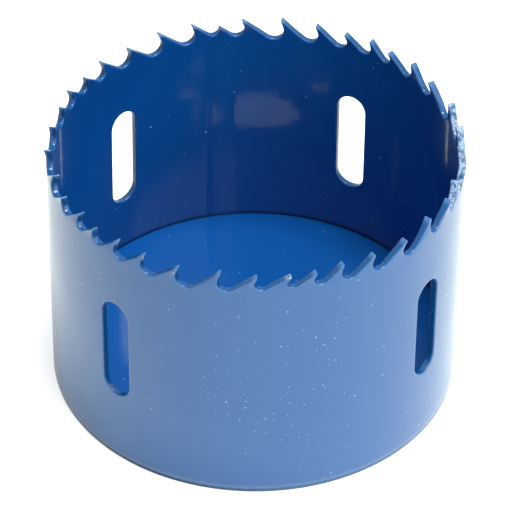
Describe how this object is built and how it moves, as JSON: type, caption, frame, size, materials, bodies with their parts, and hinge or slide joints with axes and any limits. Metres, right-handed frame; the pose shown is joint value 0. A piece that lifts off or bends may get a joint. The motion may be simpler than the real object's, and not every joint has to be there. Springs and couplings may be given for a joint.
{
  "type": "hole saw",
  "caption": "Hole saw cup: thin rolled band with hooked variable-pitch teeth and pry slots, welded on a thick base plate with an arbor thread and drive-pin holes.",
  "frame": {"origin": "centre of the base plate's underside, on the saw's axis", "axes": "+Z along the axis towards the teeth; the band's butt weld is at 45 degrees from +X towards +Y"},
  "size_m": [0.0673, 0.0673, 0.0451],
  "materials": {
    "band_paint": "gloss blue enamel, worn to bare steel at the tooth tips",
    "base_paint": "gloss blue enamel, bare steel in the thread"
  },
  "bodies": {
    "root": {"toothed_band": "band_paint", "base_plate": "base_paint"}
  },
  "joints": []
}
